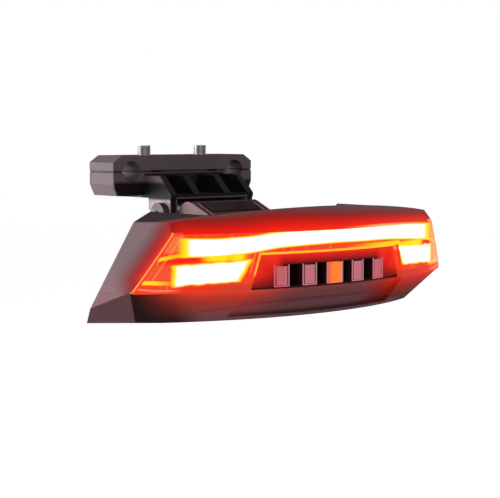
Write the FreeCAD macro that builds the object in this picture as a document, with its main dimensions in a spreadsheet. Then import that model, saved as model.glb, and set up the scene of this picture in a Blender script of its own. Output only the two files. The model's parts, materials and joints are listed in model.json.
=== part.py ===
import FreeCAD, Part
import math
import os

import Sketcher

# Bicycle tail light hung below the saddle rails.
# Millimetres. +X is the bicycle's right, +Y its forward direction, +Z is up.
# The origin is midway between the two saddle rails, at mid-depth of the rail clamp.

doc = FreeCAD.newDocument("tail_light")
sheet = doc.addObject("Spreadsheet::Sheet", "sizes")

# Driving dimensions: alias, value, meaning
SIZES = [
    ("rail_radius", 3.5, "saddle rail, radius"),
    ("rail_spacing", 44, "between the two rail axes"),
    ("clamp_half_width", 29.5, "half the width of the rail clamp"),
    ("clamp_depth", 14, "clamp along the rails"),
    ("clamp_opening", 0.6, "open slit between the two clamp halves"),
    ("plate_height", 5.1, "upper clamp plate, from the slit to its top"),
    ("block_height", 7.7, "lower clamp block, from the slit to its underside"),
    ("plate_chamfer_wide", 3.5, "end chamfer of the clamp plate, along X"),
    ("plate_chamfer_high", 2.3, "end chamfer of the clamp plate, along Z"),
    ("bolt_spacing", 24, "between the two clamp bolts"),
    ("bolt_radius", 2.0, "clamp and hinge bolts"),
    ("bolt_clearance", 0.2, "bolt to its hole, on the radius"),
    ("bolt_head_radius", 3.5, "bolt head"),
    ("bolt_head_height", 2.4, "bolt head"),
    ("bolt_end_length", 3.2, "thread standing above the clamp plate"),
    ("nut_across", 7, "nut, across its flats"),
    ("nut_height", 3.0, "nut"),
    ("nut_clearance", 0.15, "nut in its seat"),
    ("bore_radius", 0.9, "drive socket in a bolt head"),
    ("bracket_half_width", 17.5, "rear flange and ears of the lower block"),
    ("flange_end", -22.4, "rear edge of the flange"),
    ("flange_thickness", 1.4, "flange below the gussets"),
    ("gusset_thickness", 2.6, "each gusset rib"),
    ("gusset_reach", -16, "rear end of the gussets' top edge"),
    ("ear_thickness", 3, "each hinge ear"),
    ("ear_front", -10, "forward edge of the ears"),
    ("ear_radius", 4.0, "round end of the ears"),
    ("pivot_forward", -18, "tilt axis, Y"),
    ("pivot_height", -13.5, "tilt axis, Z"),
    ("knuckle_radius", 4.2, "round knuckle of the tilt bracket"),
    ("knuckle_half_width", 12.5, "knuckle of the tilt bracket"),
    ("washer_clearance", 0.2, "washer to its neighbour"),
    ("washer_radius", 3.8, "friction washer"),
    ("hump_forward", -27, "round front of the bracket's back, Y"),
    ("hump_height", -14.5, "round front of the bracket's back, Z"),
    ("hump_radius", 5, "round front of the bracket's back"),
    ("hump_half_width", 14.2, "bracket's back"),
    ("hump_end", -37.5, "rear end of the bracket's sloping back"),
    ("hump_drop", 4.0, "fall of the sloping back"),
    ("hump_under", -14.9, "underside of the sloping back"),
    ("neck_half_width", 8, "neck of the slide foot"),
    ("foot_half_width", 11, "slide foot"),
    ("foot_front", -27, "forward end of the slide foot"),
    ("foot_end", -45, "rear end of the slide foot"),
    ("foot_height", 2, "slide foot"),
    ("slide_clearance", 0.2, "slide foot in its receiver"),
    ("lip_height", 1.5, "holding lips of the receiver"),
    ("receiver_wall", 2.7, "side wall of the receiver"),
    ("receiver_base", 1.5, "base of the receiver"),
    ("tab_half_width", 10.5, "release tab in the sloping back"),
    ("tab_front", -29.4, "forward edge of the release tab"),
    ("tab_end", -35.2, "rear edge of the release tab"),
    ("tab_proud", 0.3, "release tab above the sloping back"),
    ("tab_clearance", 0.2, "release tab in its pocket"),
    ("tab_travel", 0.7, "release tab when pressed"),
    ("tab_under", -13.1, "underside of the release tab"),
    ("stem_radius", 1.4, "stem of the release tab"),
    ("lens_radius", 120, "plan arc of the lens"),
    ("lens_front", -84, "rearmost point of the lens"),
    ("crest_height", -9.3, "top ridge at the middle"),
    ("crown_radius", 420, "sideways crown of the top"),
    ("bevel_depth", 5, "top bevel above the lens, inward"),
    ("bevel_height", 6.8, "top bevel above the lens, upward"),
    ("lens_bottom", -33, "lower edge of the lens, where the two shells meet"),
    ("floor_height", -42.6, "underside of the light"),
    ("chin_slope", 1.0, "inward run of the chin per unit of drop"),
    ("corner_across", 64.3, "lens corner, X"),
    ("corner_height", -32.3, "lens corner, Z"),
    ("side_turn", -13.5, "upper side facet, degrees round Z"),
    ("side_lean", 27.5, "upper side facet, degrees up"),
    ("under_turn", -50.9, "lower side facet, degrees round Z"),
    ("under_lean", -47.1, "lower side facet, degrees down"),
    ("wing_turn", 46.7, "forward facet, degrees round Z"),
    ("wing_lean", 24.5, "forward facet, degrees up"),
    ("wing_across", 56, "wing corner, X"),
    ("wing_forward", -56.2, "wing corner, Y"),
    ("wing_height", -12, "wing corner, Z"),
    ("nose_end", -24, "forward end of the light"),
    ("wall", 2.4, "wall of the shells"),
    ("channel_half_width", 20.5, "top channel for the bracket"),
    ("channel_end", -49, "rear end of the top channel"),
    ("saddle_half_width", 39.3, "low middle of the roof"),
    ("saddle_floor", -13.5, "low middle of the roof, Z"),
    ("crest_depth", 7.4, "lens arc to the rear edge of the low middle"),
    ("lens_thickness", 2.5, "lens"),
    ("lens_clearance", 0.1, "lens to the shells"),
    ("side_rim", 1.0, "shell edge beside the lens"),
    ("recess_top", -22.4, "top of the middle recess"),
    ("recess_half_top", 28.5, "middle recess, half width at its top"),
    ("recess_half_bottom", 31.6, "middle recess, half width at the lens edge"),
    ("recess_half_lip", 33.5, "middle recess, half width at the chin's foot"),
    ("recess_depth", 2.2, "grille behind the lens face"),
    ("chin_recess", 1.2, "recess of the chin below the grille"),
    ("grille_thickness", 10, "grille frame, front to back"),
    ("post_pitch", 10, "between grille posts"),
    ("slot_width", 4.4, "dark slot between two posts"),
    ("slot_depth", 7.5, "dark slot between two posts"),
    ("post_bottom", -32.6, "lower end of the posts"),
    ("post_height", 6.6, "grille posts"),
    ("insert_width", 3.5, "bright insert of a post"),
    ("insert_height", 5.6, "bright insert of a post"),
    ("insert_depth", 0.8, "bright insert of a post"),
    ("insert_proud", 0.25, "bright insert before the grille"),
    ("button_width", 5.0, "power button"),
    ("button_height", 6.2, "power button"),
    ("button_clearance", 0.2, "power button in the grille"),
    ("button_proud", 0.5, "power button before the grille"),
    ("button_length", 11.5, "power button, front to back"),
    ("button_travel", 0.6, "power button when pressed"),
    ("switch_height", 1.5, "switch behind the button"),
    ("switch_size", 5, "switch behind the button, across and up"),
    ("board_thickness", 1.2, "circuit boards"),
    ("guide_gap", 0.3, "light guides behind the lens"),
    ("guide_thickness", 5, "light guides, front to back"),
    ("bar_top", -16.4, "upper light guide"),
    ("bar_height", 5.6, "upper light guide"),
    ("lamp_top", -23.6, "side lamp guides"),
    ("lamp_height", 6.2, "side lamp guides"),
    ("lamp_inner", 33.2, "inner end of the side lamps"),
    ("guide_end_rim", 3.4, "shell side to the outer end of the guides"),
    ("led_size", 2, "light-emitting diode"),
    ("led_height", 0.9, "light-emitting diode"),
    ("bar_led_pitch", 8.6, "between the bar's diodes, across the light"),
    ("lamp_led_pitch", 7.2, "between a turn lamp's diodes, across the light"),
    ("lamp_led_inset", 4, "first diode of a turn lamp from its inner end"),
    ("cell_radius", 9.1, "battery cell"),
    ("cell_length", 65, "battery cell"),
    ("cell_forward", -56.5, "battery cell, Y"),
    ("cell_height", -30.8, "battery cell, Z"),
    ("cradle_wall", 2, "battery cradle beyond the cell's end"),
    ("cradle_half_depth", 9.6, "battery cradle, half its size along Y"),
    ("contact_thickness", 0.3, "contact plate at each end of the cell"),
    ("screw_bite", 5, "shell screws into the upper bosses"),
    ("board_post_across", 26, "main board's posts, X"),
    ("board_post_forward", -62, "main board's posts, Y"),
    ("cradle_clearance", 0.15, "battery cell in its cradle"),
    ("board_post_margin", 4, "main board beyond its posts, along X"),
    ("board_rear", -69, "rear edge of the main board"),
    ("board_front", -52.4, "forward edge of the main board"),
    ("board_height", -19.6, "underside of the main board"),
    ("radio_length", 12, "radio module"),
    ("radio_thickness", 2.2, "radio module"),
    ("radio_across", -14, "radio module's middle, X"),
    ("chip_length", 8, "control chip"),
    ("chip_thickness", 1.1, "control chip"),
    ("chip_across", 12, "control chip's middle, X"),
    ("board_screw_bite", 3, "board screws into their posts"),
    ("ribbon_half_width", 4, "ribbon cable"),
    ("ribbon_thickness", 0.2, "ribbon cable"),
    ("ribbon_overlap", 3, "ribbon cable on the main board"),
    ("ribbon_gap", 0.15, "ribbon cable to the strip"),
    ("contact_half_width", 4, "contact plates, along Y"),
    ("contact_height", 7.5, "contact plates"),
    ("cover_half_width", 34, "bottom cover"),
    ("cover_rear", -64, "bottom cover, rear edge"),
    ("cover_front", -37, "bottom cover, forward edge"),
    ("cover_thickness", 1.2, "bottom cover"),
    ("cover_clearance", 0.15, "bottom cover in its rebate"),
    ("cover_rim", 5, "rebate that the bottom cover rests on"),
    ("small_screw_radius", 1.1, "small screws"),
    ("small_head_radius", 2.1, "small screw heads"),
    ("small_head_height", 1.0, "small screw heads"),
    ("boss_radius", 3.2, "screw bosses"),
    ("rear_boss_across", 46, "rear shell screws, X"),
    ("rear_boss_forward", -54, "rear shell screws, Y"),
    ("front_boss_across", 34, "forward shell screws, X"),
    ("front_boss_forward", -31.5, "forward shell screws, Y"),
    ("seal_inset", 0.7, "gasket from the outside"),
    ("seal_width", 1.0, "gasket"),
    ("seal_height", 0.9, "gasket"),
    ("port_height", -32.6, "charging socket, Z"),
    ("port_half_width", 4.5, "charging socket"),
    ("port_thickness", 3.2, "charging socket"),
    ("port_length", 7.3, "charging socket, front to back"),
    ("port_skin", 0.4, "metal of the charging socket"),
    ("port_clearance", 0.2, "charging socket in the wall"),
    ("charge_half_width", 14, "charging board"),
    ("charge_length", 17, "charging board"),
    ("peg_radius", 2, "pegs under the charging board"),
    ("peg_inset", 3, "pegs in from the charging board's edges"),
    ("flap_half_width", 8, "rubber flap over the socket"),
    ("flap_half_height", 4.4, "rubber flap over the socket"),
    ("flap_thickness", 1.6, "rubber flap over the socket"),
    ("flap_gap", 0.3, "rubber flap to the end wall"),
    ("flap_pin_radius", 0.8, "rubber flap's hinge bead"),
]

for row, (alias, value, meaning) in enumerate(SIZES, start=1):
    sheet.set(f"A{row}", alias)
    sheet.set(f"B{row}", str(value))
    sheet.set(f"C{row}", meaning)
    sheet.setAlias(f"B{row}", alias)
doc.recompute()


class Size:
    """A number that keeps the sheet expression it comes from."""

    def __init__(self, value, text):
        self.value = value
        self.text = text

    def __float__(self):
        return float(self.value)

    def __neg__(self):
        return Size(-self.value, f"-({self.text})")

    def __add__(self, other):
        return Size(self.value + float(other), f"({self.text} + {text_of(other)})")

    def __radd__(self, other):
        return self + other

    def __sub__(self, other):
        return Size(self.value - float(other), f"({self.text} - {text_of(other)})")

    def __rsub__(self, other):
        return Size(float(other) - self.value, f"({text_of(other)} - {self.text})")

    def __mul__(self, other):
        return Size(self.value * float(other), f"({self.text} * {text_of(other)})")

    def __rmul__(self, other):
        return self * other

    def __truediv__(self, other):
        return Size(self.value / float(other), f"({self.text} / {text_of(other)})")


def text_of(size):
    return size.text if isinstance(size, Size) else repr(float(size))


class Sheet:
    """Reads an alias of the sheet as a Size."""

    def __getattr__(self, alias):
        return Size(float(sheet.get(alias)), f"sizes.{alias}")


s = Sheet()
sub_parts = []


def finished(node, name):
    node.Label = name
    sub_parts.append(node)
    return node


# Sketched bodies. The sketch axes of a plane are the other two axes in order.
PLANES = {"X": "YZ_Plane", "Y": "XZ_Plane", "Z": "XY_Plane"}


def new_body(name):
    return finished(doc.addObject("PartDesign::Body", name), name)


def polygon(*corners):
    return ("polygon", corners)


def box_outline(low_x, high_x, low_y, high_y):
    return polygon((low_x, low_y), (high_x, low_y), (high_x, high_y), (low_x, high_y))


def square(centre_x, centre_y, half):
    return box_outline(centre_x - half, centre_x + half, centre_y - half, centre_y + half)


def circle(centre_x, centre_y, radius):
    return ("circle", (centre_x, centre_y, radius))


def pin_point(sketch, curve, end, x, y):
    """Holds one point of a sketch at distances from the origin that follow the sheet."""
    for kind, distance in (("DistanceX", x), ("DistanceY", y)):
        number = sketch.addConstraint(Sketcher.Constraint(kind, -1, 1, curve, end, float(distance)))
        if isinstance(distance, Size):
            sketch.setExpression(f"Constraints[{number}]", distance.text)


def draw(sketch, outline):
    kind, data = outline
    if kind == "circle":
        x, y, radius = data
        centre = FreeCAD.Vector(float(x), float(y), 0)
        normal = FreeCAD.Vector(0, 0, 1)
        curve = sketch.addGeometry(Part.Circle(centre, normal, float(radius)))
        pin_point(sketch, curve, 3, x, y)
        number = sketch.addConstraint(Sketcher.Constraint("Radius", curve, float(radius)))
        if isinstance(radius, Size):
            sketch.setExpression(f"Constraints[{number}]", radius.text)
        return
    places = [FreeCAD.Vector(float(x), float(y), 0) for x, y in data]
    curves = []
    for start, stop in zip(places, places[1:] + places[:1]):
        curves.append(sketch.addGeometry(Part.LineSegment(start, stop)))
    for before, after in zip(curves, curves[1:] + curves[:1]):
        sketch.addConstraint(Sketcher.Constraint("Coincident", before, 2, after, 1))
    for curve, (x, y) in zip(curves, data):
        pin_point(sketch, curve, 1, x, y)


def sketched(body, axis, place, outlines):
    sketch = body.newObject("Sketcher::SketchObject", f"{body.Name}_sketch")
    planes = [p for p in body.Origin.OriginFeatures if p.Role == PLANES[axis]]
    sketch.AttachmentSupport = [(planes[0], "")]
    sketch.MapMode = "FlatFace"
    along = -place if axis == "Y" else place
    sketch.setExpression("AttachmentOffset.Base.z", text_of(along))
    for outline in outlines:
        draw(sketch, outline)
    sketch.Visibility = False
    return sketch


def add(body, axis, low, high, *outlines):
    """Adds material between two places on an axis."""
    start = high if axis == "Y" else low
    sketch = sketched(body, axis, start, outlines)
    pad = body.newObject("PartDesign::Pad", f"{body.Name}_pad")
    pad.Profile = sketch
    pad.setExpression("Length", text_of(high - low))
    doc.recompute()
    return pad


def remove(body, axis, low, high, *outlines):
    """Takes material away between two places on an axis."""
    before = body.Shape.Volume
    start = low if axis == "Y" else high
    sketch = sketched(body, axis, start, outlines)
    pocket = body.newObject("PartDesign::Pocket", f"{body.Name}_pocket")
    pocket.Profile = sketch
    pocket.setExpression("Length", text_of(high - low))
    doc.recompute()
    if body.Shape.Volume >= before:
        raise RuntimeError(f"{body.Name}: a pocket cut nothing")
    return pocket


# Primitives, for fasteners and other turned or plain pieces
TURNS = {
    "X": FreeCAD.Rotation(FreeCAD.Vector(0, 1, 0), 90),
    "Y": FreeCAD.Rotation(FreeCAD.Vector(1, 0, 0), -90),
    "Z": FreeCAD.Rotation(),
}


def placed(piece, x, y, z):
    for letter, distance in (("x", x), ("y", y), ("z", z)):
        piece.setExpression(f"Placement.Base.{letter}", text_of(distance))
    return piece


def rod(axis, x, y, z, radius, length):
    piece = doc.addObject("Part::Cylinder", "rod")
    piece.setExpression("Radius", text_of(radius))
    piece.setExpression("Height", text_of(length))
    piece.Placement.Rotation = TURNS[axis]
    return placed(piece, x, y, z)


def hexagon(axis, x, y, z, across, length):
    piece = doc.addObject("Part::Prism", "hexagon")
    piece.Polygon = 6
    piece.setExpression("Circumradius", f"{text_of(across)} / sqrt(3)")
    piece.setExpression("Height", text_of(length))
    piece.Placement.Rotation = TURNS[axis]
    return placed(piece, x, y, z)


def block(low_x, high_x, low_y, high_y, low_z, high_z):
    piece = doc.addObject("Part::Box", "block")
    piece.setExpression("Length", text_of(high_x - low_x))
    piece.setExpression("Width", text_of(high_y - low_y))
    piece.setExpression("Height", text_of(high_z - low_z))
    return placed(piece, low_x, low_y, low_z)


def fused(*pieces):
    whole = doc.addObject("Part::MultiFuse", "fused")
    whole.Shapes = list(pieces)
    return whole


def cut(base, *tools):
    result = base
    for tool in tools:
        step = doc.addObject("Part::Cut", "cut")
        step.Base = result
        step.Tool = tool
        result = step
    return result


def group(name, pieces):
    """Several like solids that share one node."""
    whole = doc.addObject("Part::Compound", name)
    whole.Links = list(pieces)
    return finished(whole, name)


def shaped(name, shape):
    """A piece whose form is worked out from the sheet below."""
    piece = doc.addObject("Part::Feature", name)
    piece.Shape = shape
    return finished(piece, name)


# Places worked out from the driving dimensions
rail_across = s.rail_spacing / 2
clamp_rear = -s.clamp_depth / 2
clamp_front = s.clamp_depth / 2
slit_top = s.clamp_opening / 2
slit_bottom = -s.clamp_opening / 2
plate_top = slit_top + s.plate_height
block_bottom = slit_bottom - s.block_height
flange_bottom = block_bottom - s.flange_thickness / 2
flange_top = block_bottom + s.flange_thickness / 2
bolt_across = s.bolt_spacing / 2
bolt_hole = s.bolt_radius + s.bolt_clearance
ear_inner = s.bracket_half_width - s.ear_thickness
pivot = (s.pivot_forward, s.pivot_height)
hump_top = s.hump_height + s.hump_radius
slope_start = s.hump_forward - s.hump_radius * 0.39
slope_top = hump_top - s.hump_radius * 0.08
slope_end = hump_top - s.hump_drop
foot_bottom = s.hump_under - s.lip_height - s.slide_clearance * 2 - s.foot_height
foot_top = foot_bottom + s.foot_height
lip_bottom = foot_top + s.slide_clearance
lip_top = lip_bottom + s.lip_height
base_top = foot_bottom - s.slide_clearance
channel_floor = base_top - s.receiver_base
receiver_half_width = s.foot_half_width + s.slide_clearance + s.receiver_wall
arc_forward = s.lens_front + s.lens_radius
grille_face = s.lens_front + s.recess_depth
grille_back = grille_face + s.grille_thickness
post_middle = s.post_bottom + s.post_height / 2
inner_floor = s.floor_height + s.wall
board_top = s.board_height + s.board_thickness


def rail_clamp():
    """Lower block with half grooves for the rails, a ribbed rear flange and two hinge ears."""
    body = new_body("lower_clamp_block")
    half = s.clamp_half_width
    slant = half - s.plate_chamfer_wide / 2
    profile = polygon(
        (-slant, block_bottom), (slant, block_bottom), (half, slit_bottom - s.block_height / 2),
        (half, slit_bottom), (-half, slit_bottom), (-half, slit_bottom - s.block_height / 2),
    )
    add(body, "Y", clamp_rear, clamp_front, profile)
    width = s.bracket_half_width
    flange = box_outline(-width, width, s.flange_end, clamp_front)
    add(body, "Z", flange_bottom, flange_top, flange)
    rib = polygon((clamp_rear, slit_bottom - 1), (s.gusset_reach, slit_bottom - 1),
                  (s.flange_end, flange_top), (clamp_rear, flange_top))
    for share in (-1, -0.4, 0.4, 1):
        middle = (width - s.gusset_thickness / 2) * share
        add(body, "X", middle - s.gusset_thickness / 2, middle + s.gusset_thickness / 2, rib)
    ear_rear = s.pivot_forward - s.ear_radius
    ear = polygon(
        (ear_rear, s.pivot_height), (s.pivot_forward + s.ear_radius, s.pivot_height),
        (s.ear_front, s.pivot_height + 0.8), (s.ear_front, flange_bottom + 0.5),
        (ear_rear, flange_bottom + 0.5),
    )
    for low, high in ((-width, -ear_inner), (ear_inner, width)):
        add(body, "X", low, high, ear)
        add(body, "X", low, high, circle(*pivot, s.ear_radius))
    remove(body, "Y", clamp_rear - 0.01, clamp_front + 0.01,
           circle(-rail_across, 0, s.rail_radius), circle(rail_across, 0, s.rail_radius))
    remove(body, "Z", flange_bottom, slit_bottom, circle(-bolt_across, 0, bolt_hole),
           circle(bolt_across, 0, bolt_hole))
    remove(body, "Z", flange_bottom, flange_bottom + s.bolt_head_height,
           circle(-bolt_across, 0, s.bolt_head_radius + s.bolt_clearance),
           circle(bolt_across, 0, s.bolt_head_radius + s.bolt_clearance))
    remove(body, "X", -width, width, circle(*pivot, s.bolt_radius + s.bolt_clearance))


def upper_plate():
    """Clamp plate over the rails, with chamfered ends and seats for the nuts."""
    body = new_body("upper_clamp_plate")
    half = s.clamp_half_width
    inner = half - s.plate_chamfer_wide
    shoulder = plate_top - s.plate_chamfer_high
    profile = polygon(
        (-half, slit_top), (half, slit_top), (half, shoulder), (inner, plate_top),
        (-inner, plate_top), (-half, shoulder),
    )
    add(body, "Y", clamp_rear, clamp_front, profile)
    remove(body, "Y", clamp_rear - 0.01, clamp_front + 0.01,
           circle(-rail_across, 0, s.rail_radius), circle(rail_across, 0, s.rail_radius))
    remove(body, "Z", slit_top, plate_top, circle(-bolt_across, 0, bolt_hole),
           circle(bolt_across, 0, bolt_hole))
    seat = s.nut_across * 0.578 + s.nut_clearance
    remove(body, "Z", plate_top - s.nut_height, plate_top, circle(-bolt_across, 0, seat),
           circle(bolt_across, 0, seat))


def clamp_fasteners():
    """Two bolts up through both clamp halves, with a nut on each."""
    bolts = []
    nuts = []
    for side in (-1, 1):
        across = bolt_across * side
        seat = flange_bottom + s.bolt_head_height
        head = rod("Z", across, 0, flange_bottom, s.bolt_head_radius, s.bolt_head_height)
        length = plate_top + s.bolt_end_length - seat
        shank = rod("Z", across, 0, seat, s.bolt_radius, length)
        socket = rod("Z", across, 0, flange_bottom, s.bore_radius, s.bolt_head_height / 2)
        bolts.append(cut(fused(head, shank), socket))
        nut_low = plate_top - s.nut_height
        nut = hexagon("Z", across, 0, nut_low, s.nut_across, s.nut_height)
        hole = rod("Z", across, 0, nut_low, s.bolt_radius + 0.05, s.nut_height)
        nuts.append(cut(nut, hole))
    group("clamp_bolts", bolts)
    group("clamp_nuts", nuts)


def hinge_fasteners():
    """Hinge bolt and nut across the ears, and a friction washer each side of the knuckle."""
    width = s.bracket_half_width
    length = width * 2 + s.nut_height * 0.85
    shank = rod("X", -width, *pivot, s.bolt_radius, length)
    head = rod("X", -width - s.bolt_head_height, *pivot, s.bolt_head_radius, s.bolt_head_height)
    socket = rod("X", -width - s.bolt_head_height, *pivot, s.bore_radius, s.bolt_head_height / 2)
    finished(cut(fused(shank, head), socket), "hinge_bolt")
    nut = hexagon("X", width, *pivot, s.nut_across, s.nut_height * 0.85)
    hole = rod("X", width, *pivot, s.bolt_radius + 0.05, s.nut_height)
    finished(cut(nut, hole), "hinge_nut")
    washers = []
    thickness = ear_inner - s.knuckle_half_width - s.washer_clearance * 2
    for start in (s.knuckle_half_width + s.washer_clearance, -ear_inner + s.washer_clearance):
        disc = rod("X", start, *pivot, s.washer_radius, thickness)
        hole = rod("X", start, *pivot, s.bolt_radius + 0.05, thickness)
        washers.append(cut(disc, hole))
    group("friction_washers", washers)


def tilt_bracket():
    """Knuckle with a sloping back and a slide foot that carries the light."""
    body = new_body("tilt_bracket")
    broad = s.hump_half_width
    back = polygon(
        (s.hump_forward, hump_top), (slope_start, slope_top), (s.hump_end, slope_end),
        (s.hump_end - 0.8, s.hump_under), (s.hump_forward, s.hump_under),
    )
    add(body, "X", -broad, broad, circle(s.hump_forward, s.hump_height, s.hump_radius))
    add(body, "X", -broad, broad, back)
    remove(body, "Z", s.hump_height - s.hump_radius, s.hump_under,
           box_outline(-broad, broad, s.hump_end - 1, s.hump_forward + s.hump_radius))
    width = s.knuckle_half_width
    add(body, "X", -width, width, circle(*pivot, s.knuckle_radius))
    add(body, "Z", s.hump_under, s.pivot_height + 1,
        box_outline(-width, width, s.hump_forward, s.pivot_forward))
    neck = s.neck_half_width
    add(body, "Z", foot_bottom, s.hump_under + 0.4, box_outline(-neck, neck, s.foot_end, s.pivot_forward))
    foot = s.foot_half_width
    add(body, "Z", foot_bottom, foot_top, box_outline(-foot, foot, s.foot_end, s.foot_front))
    remove(body, "X", -width, width, circle(*pivot, s.bolt_radius + s.bolt_clearance / 2))
    pocket_floor = s.tab_under - s.tab_travel - s.tab_clearance * 2
    pocket = s.tab_half_width + s.tab_clearance
    remove(body, "Z", pocket_floor, hump_top, box_outline(
        -pocket, pocket, s.tab_end - s.tab_clearance, s.tab_front + s.tab_clearance))
    middle = (s.tab_front + s.tab_end) / 2
    remove(body, "Z", foot_bottom, s.tab_under, circle(0, middle, s.stem_radius + s.tab_clearance))


def release_tab():
    """Glossy press tab that follows the slope of the bracket's back, on a stem."""
    body = new_body("release_tab")
    fall = (slope_top - slope_end) / (slope_start - s.hump_end)
    front = slope_top - fall * (slope_start - s.tab_front) + s.tab_proud
    rear = slope_top - fall * (slope_start - s.tab_end) + s.tab_proud
    side = polygon(
        (s.tab_front, front), (s.tab_end, rear), (s.tab_end, s.tab_under), (s.tab_front, s.tab_under))
    add(body, "X", -s.tab_half_width, s.tab_half_width, side)
    middle = (s.tab_front + s.tab_end) / 2
    add(body, "Z", foot_top, s.tab_under + 0.3, circle(0, middle, s.stem_radius))


def slide_receiver():
    """Channel on the light that the bracket's foot slides into from the front."""
    body = new_body("slide_receiver")
    half = receiver_half_width
    front = s.foot_front
    stop = s.foot_end - s.slide_clearance
    end = stop - s.receiver_wall
    add(body, "Z", channel_floor, lip_top, box_outline(-half, half, end, front))
    inside = s.foot_half_width + s.slide_clearance
    slot = s.neck_half_width + s.slide_clearance
    remove(body, "Z", base_top, lip_bottom, box_outline(-inside, inside, stop, front + 1))
    remove(body, "Z", base_top, lip_top, box_outline(-slot, slot, stop, front + 1))
    across = slot * 0.7
    for forward in (end + s.receiver_wall + s.small_head_radius * 1.6, front - s.small_head_radius * 1.6):
        holes = [circle(side * across, forward, s.small_screw_radius + 0.1) for side in (-1, 1)]
        sinks = [circle(side * across, forward, s.small_head_radius + 0.1) for side in (-1, 1)]
        remove(body, "Z", channel_floor, base_top, *holes)
        remove(body, "Z", base_top - s.small_head_height, base_top, *sinks)


def receiver_screws():
    """Four countersunk screws that hold the receiver to the housing."""
    screws = []
    slot = s.neck_half_width + s.slide_clearance
    across = slot * 0.7
    end = s.foot_end - s.slide_clearance - s.receiver_wall
    head_low = base_top - s.small_head_height
    inset = s.small_head_radius * 1.6
    for forward in (end + s.receiver_wall + inset, s.foot_front - inset):
        for side in (-1, 1):
            head = rod("Z", across * side, forward, head_low, s.small_head_radius, s.small_head_height)
            tip = channel_floor - s.wall
            shank = rod("Z", across * side, forward, tip, s.small_screw_radius, head_low - tip)
            screws.append(fused(head, shank))
    group("receiver_screws", screws)


# The light's shells. Their faces lean every way, so they are worked out as shapes:
# a turned lens band with a bevel and a chin, crowned on top and cut by leaning facets.
REACH = 400


def vector(x, y, z):
    return FreeCAD.Vector(float(x), float(y), float(z))


def slab(low_x, high_x, low_y, high_y, low_z, high_z):
    low = vector(low_x, low_y, low_z)
    high = vector(high_x, high_y, high_z)
    return Part.makeBox(high.x - low.x, high.y - low.y, high.z - low.z, low)


def disc(radius, low_z, high_z):
    """A cylinder about the lens arc's axis."""
    return Part.makeCylinder(float(radius), float(high_z) - float(low_z), vector(0, arc_forward, low_z))


def band(outer, inner, low_z, high_z):
    """The rear half of a ring about the lens arc's axis."""
    ring = disc(outer, low_z, high_z).cut(disc(inner, low_z, high_z))
    return ring.common(slab(-REACH, REACH, -REACH, s.nose_end, low_z, high_z))


def beyond(point, turn, lean, inset, side):
    """Everything outside a leaning facet through a point, moved inward by an inset."""
    turn = math.radians(float(turn))
    lean = math.radians(float(lean))
    outward = FreeCAD.Vector(
        side * math.cos(lean) * math.cos(turn), math.cos(lean) * math.sin(turn), math.sin(lean))
    on_face = FreeCAD.Vector(side * point.x, point.y, point.z) - outward * float(inset)
    outside = Part.makeBox(REACH, REACH, REACH, FreeCAD.Vector(-REACH / 2, -REACH / 2, 0))
    outside.Placement = FreeCAD.Placement(
        on_face, FreeCAD.Rotation(FreeCAD.Vector(0, 0, 1), outward))
    return outside


def lens_corner():
    across = float(s.corner_across)
    forward = float(arc_forward) - math.sqrt(float(s.lens_radius) ** 2 - across ** 2)
    return vector(across, forward, s.corner_height)


def within_wings(solid, inset):
    """Trims a solid to behind the two forward facets."""
    wing = vector(s.wing_across, s.wing_forward, s.wing_height)
    for side in (-1, 1):
        solid = solid.cut(beyond(wing, s.wing_turn, s.wing_lean, inset, side))
    return solid


def within_sides(solid, inset):
    """Trims a solid to between the two upper side facets."""
    for side in (-1, 1):
        solid = solid.cut(beyond(lens_corner(), s.side_turn, s.side_lean, inset, side))
    return solid


def light_form(inset):
    """The light's outer form with every face moved inward by an inset."""
    radius = float(s.lens_radius)
    bottom = float(s.floor_height)
    chin = float(s.lens_bottom)
    bevel = float(s.crest_height - s.bevel_height)
    corners = [
        (0, bottom), (radius - (chin - bottom) * float(s.chin_slope), bottom), (radius, chin),
        (radius, bevel), (radius - float(s.bevel_depth), float(s.crest_height)),
        (0, float(s.crest_height)),
    ]
    points = [vector(x, 0, z) for x, z in corners]
    outline = Part.Face(Part.makePolygon(points + points[:1]))
    if inset:
        outline = outline.makeOffset2D(-float(inset), 2)
    outline.translate(vector(0, arc_forward, 0))
    form = outline.revolve(vector(0, arc_forward, 0), vector(0, 0, 1), 360)
    form = form.common(slab(-REACH, REACH, -REACH, s.nose_end - inset, -REACH, REACH))
    crown = float(s.crown_radius)
    roof = Part.makeCylinder(crown - float(inset), REACH, vector(0, -REACH / 2, s.crest_height - crown),
                             vector(0, 1, 0))
    form = form.common(roof)
    form = within_wings(within_sides(form, inset), inset)
    for side in (-1, 1):
        form = form.cut(beyond(lens_corner(), s.under_turn, s.under_lean, inset, side))
    return form


def top_channel(grow):
    """The low middle of the roof behind the crest, and the deeper channel for the bracket."""
    half = s.channel_half_width + grow
    deep = slab(-half, half, s.channel_end - grow, 0, channel_floor - grow, REACH)
    low = s.saddle_floor - grow
    half = s.saddle_half_width + grow
    middle = disc(s.lens_radius - s.crest_depth + grow, low, REACH)
    return deep.fuse(middle.common(slab(-half, half, -REACH, 0, low, REACH)))


def leaning_prism(half_top, half_bottom, high_z, low_z, margin):
    """A trapezoid of the front view, run right through the light front to back."""
    top = float(half_top - margin)
    bottom = float(half_bottom - margin)
    corners = [(-top, high_z), (top, high_z), (bottom, low_z), (-bottom, low_z)]
    points = [vector(x, -REACH / 2, z) for x, z in corners]
    return Part.Face(Part.makePolygon(points + points[:1])).extrude(vector(0, REACH, 0))


def recess_prism(margin):
    return leaning_prism(s.recess_half_top, s.recess_half_bottom, s.recess_top - margin,
                         s.lens_bottom - 0, margin)


def drilled(shape, places, radius, low_z, high_z):
    for x, y in places:
        hole = Part.makeCylinder(float(radius), float(high_z) - float(low_z), vector(x, y, low_z))
        shape = shape.cut(hole)
    return shape


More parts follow.
